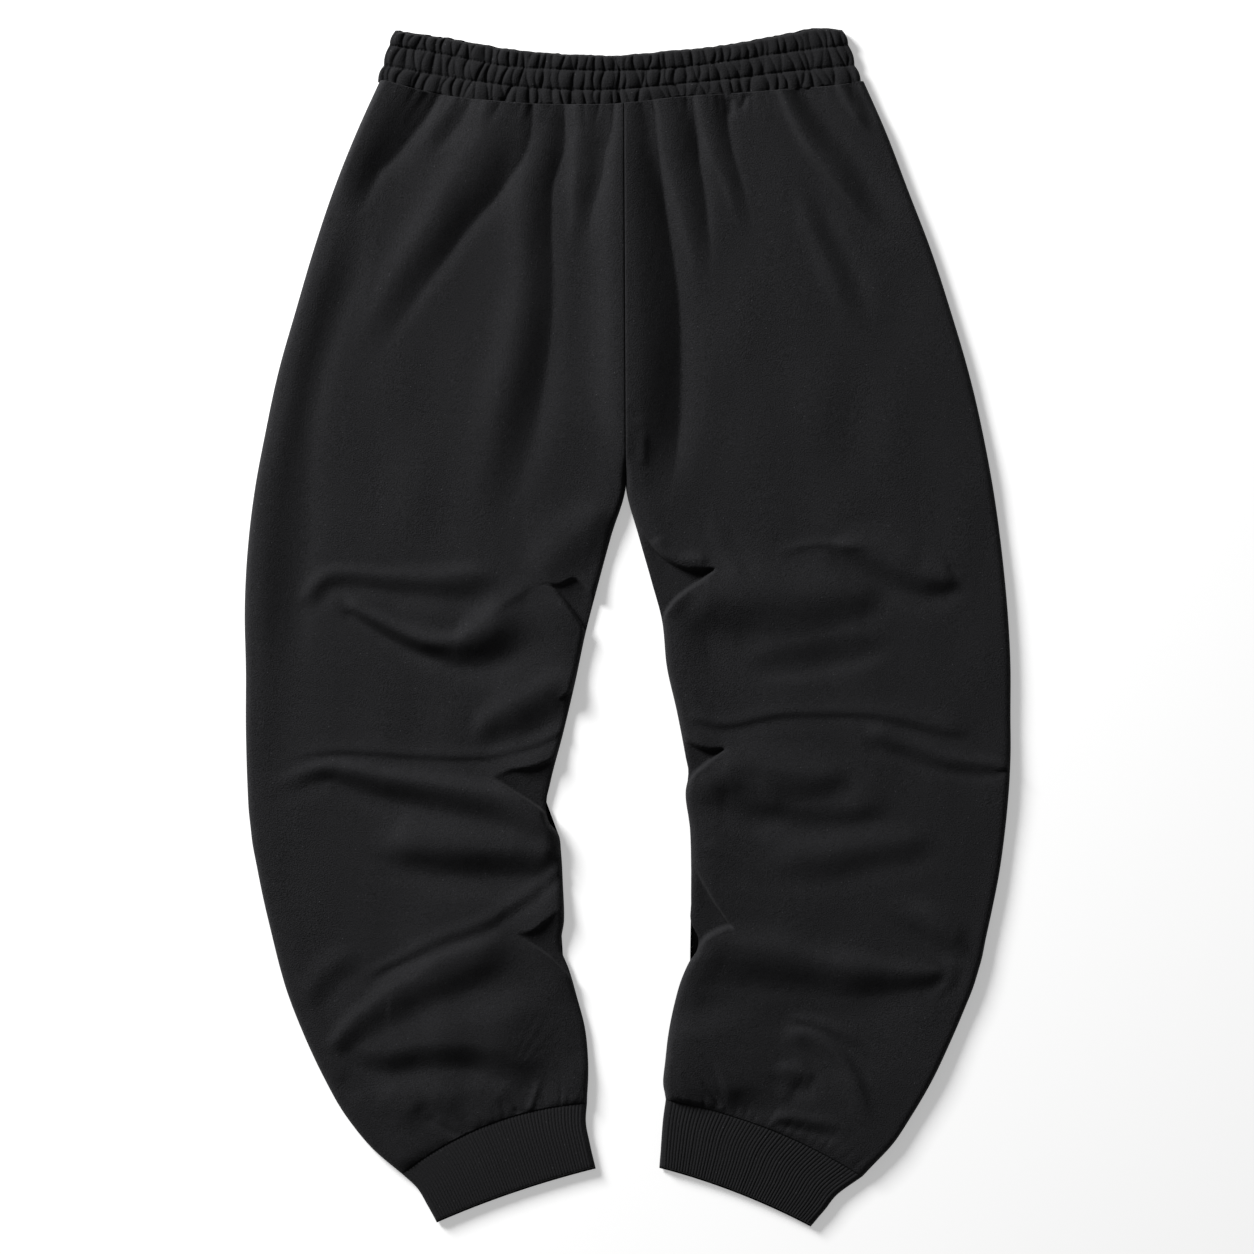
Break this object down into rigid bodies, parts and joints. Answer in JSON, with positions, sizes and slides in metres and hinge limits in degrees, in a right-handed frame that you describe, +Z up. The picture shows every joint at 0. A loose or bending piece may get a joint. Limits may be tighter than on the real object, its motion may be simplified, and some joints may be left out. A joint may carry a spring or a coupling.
{
  "type": "jogger sweatpants",
  "caption": "Black fleece jogger sweatpants laid flat, back up: gathered elastic waistband, wide bowed legs with soft folds, ribbed cuffs.",
  "frame": {"origin": "middle of the outline of the garment as it lies, on the surface it rests on", "axes": "+Z up from the surface, +Y from the cuffs to the waistband, +X to the right seen from above"},
  "size_m": [0.6522, 1.0204, 0.0216],
  "materials": {
    "fleece": "matt brushed cotton fleece",
    "gathered_fleece": "matt fleece gathered over elastic",
    "ribbing": "fine one by one rib knit"
  },
  "bodies": {
    "root": {"back_left": "fleece", "back_right": "fleece", "front_left": "fleece", "front_right": "fleece", "waistband": "gathered_fleece", "cuff_left": "ribbing", "cuff_right": "ribbing"}
  },
  "joints": []
}
